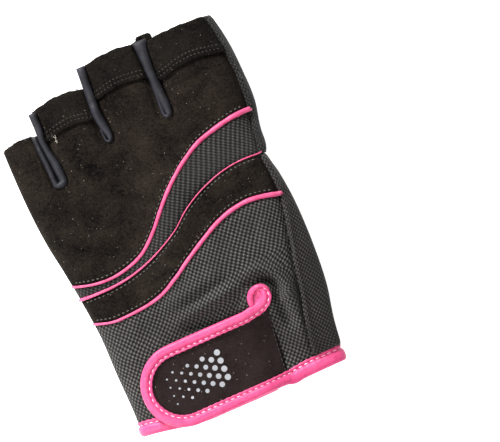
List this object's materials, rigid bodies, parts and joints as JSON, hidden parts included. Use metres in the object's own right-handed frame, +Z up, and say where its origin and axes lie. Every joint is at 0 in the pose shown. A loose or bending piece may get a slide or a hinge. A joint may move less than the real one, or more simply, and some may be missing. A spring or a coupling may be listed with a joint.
{
  "type": "weightlifting glove",
  "caption": "Fingerless left-hand training glove lying back up, with a suede palm, mesh back, coral pipings and a pink bound wrist tab; its thumb is folded under the palm.",
  "frame": {"origin": "middle of the glove's footprint, on the surface that it lies on", "axes": "+Y towards the fingers, +X towards the thumb side, +Z up out of the back of the hand"},
  "size_m": [0.1036, 0.154, 0.0261],
  "materials": {
    "suede": "matte suede",
    "mesh": "knitted mesh",
    "stretch": "smooth stretch knit",
    "tape": "woven tape",
    "strap": "brushed fabric",
    "hook": "matte"
  },
  "bodies": {
    "root": {"knuckle_panel": "suede", "suede_band": "suede", "palm_panel": "suede", "palm_pad": "suede", "finger_hem_ring": "suede", "finger_hem_middle": "suede", "finger_hem_index": "suede", "knuckle_mesh_band": "mesh", "wrist_panel": "mesh", "index_side_strip": "mesh", "thumb_side_panel": "mesh", "thumb_tube": "mesh", "palm_wrist": "mesh", "fourchette_little_ring": "stretch", "fourchette_ring_middle": "stretch", "fourchette_middle_index": "stretch", "piping_upper": "tape", "piping_middle": "tape", "piping_lower": "tape", "cuff_binding": "tape", "strap_binding": "tape", "strap": "strap", "hook_tape": "hook"}
  },
  "joints": []
}
